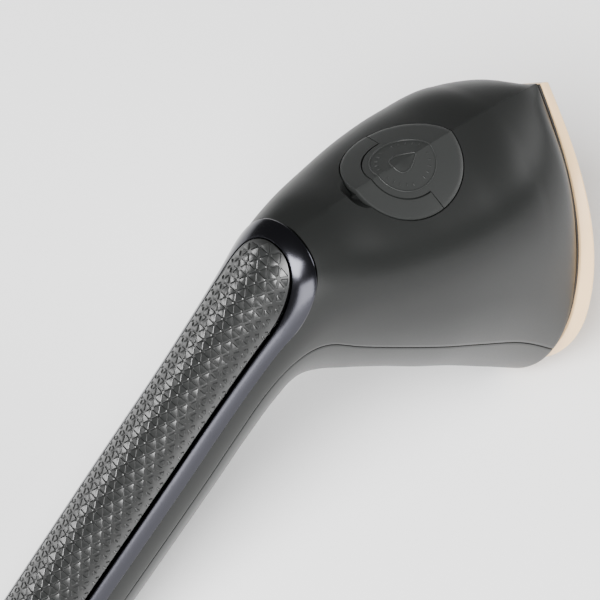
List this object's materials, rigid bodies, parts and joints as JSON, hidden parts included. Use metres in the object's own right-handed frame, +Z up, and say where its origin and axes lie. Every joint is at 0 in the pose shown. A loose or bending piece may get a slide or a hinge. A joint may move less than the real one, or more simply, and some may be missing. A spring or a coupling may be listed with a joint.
{
  "type": "garment steamer",
  "caption": "Hand-held garment steamer: drop-shaped steam plate, black tapered head with a flush filler lid, and a straight oval handle with a studded grip.",
  "frame": {"origin": "centre of the bounding box on the plane that the steamer stands on, heel and end cap down", "axes": "+X from the handle's end towards the steam plate, +Y sideways, +Z up"},
  "size_m": [0.2604, 0.0804, 0.1449],
  "materials": {
    "shell": "satin black moulded plastic",
    "plate": "satin champagne-gold coated aluminium",
    "gasket": "matt black silicone",
    "trim": "dark chrome",
    "grip": "dark studded grip",
    "lid": "satin charcoal plastic",
    "tank": "smoky clear plastic",
    "lens": "amber lens",
    "board": "green circuit board",
    "cast": "cast aluminium",
    "steel": "bright steel",
    "fitting": "white fittings"
  },
  "bodies": {
    "housing": {"boiler_block": "cast", "boiler_stud_1": "steel", "boiler_stud_2": "steel", "boiler_stud_3": "steel", "button_spring": "steel", "case_screw_1": "steel", "case_screw_2": "steel", "circuit_board": "board", "clamp_screw_1": "steel", "clamp_screw_2": "steel", "cord_clamp": "fitting", "cord_gland": "gasket", "end_cap": "shell", "filler_tray": "shell", "front_shell": "shell", "grip_insert": "grip", "grip_trim": "trim", "heat_shield": "cast", "heating_element": "steel", "indicator_lens": "lens", "micro_switch": "fitting", "plate_gasket": "gasket", "pump_body": "fitting", "pump_coil_yoke": "steel", "rear_shell": "shell", "steam_hose": "gasket", "steam_plate": "plate", "terminal_block": "fitting", "thermal_fuse": "fitting", "thermostat": "steel", "trigger_spring": "steel", "water_hose": "gasket", "water_tank": "tank"},
    "lid": {"filler_lid": "lid", "lid_plug": "gasket", "lid_seal": "gasket"},
    "pull_tab": {"lid_pull_tab": "lid"},
    "trigger": {"steam_trigger": "lid"},
    "button": {"power_button": "lid"},
    "slider": {"lock_slider": "lid"}
  },
  "joints": [
    {"name": "lid_hinge", "type": "hinge", "parent": "housing", "child": "lid", "pos_m": [0.08806, 0.00003, 0.13328], "axis": [0, 1, 0], "range_deg": [0, 100]},
    {"name": "pull_tab_hinge", "type": "hinge", "parent": "lid", "child": "pull_tab", "pos_m": [0.06678, 0, 0.13273], "axis": [0, 1, 0], "range_deg": [0, 70]},
    {"name": "trigger_hinge", "type": "hinge", "parent": "housing", "child": "trigger", "pos_m": [-0.01013, 0, 0.07689], "axis": [0, 1, 0], "range_deg": [0, 4], "stiffness_Nm_per_rad": 0.8, "deforming": ["trigger_spring"]},
    {"name": "power_button_slide", "type": "slide", "parent": "housing", "child": "button", "axis": [-0.6315, 0, 0.7754], "range_m": [0, 0.0012], "stiffness_N_per_m": 300, "deforming": ["button_spring"]},
    {"name": "lock_slide", "type": "slide", "parent": "housing", "child": "slider", "axis": [-0.7754, 0, -0.6315], "range_m": [0, 0.006]}
  ]
}
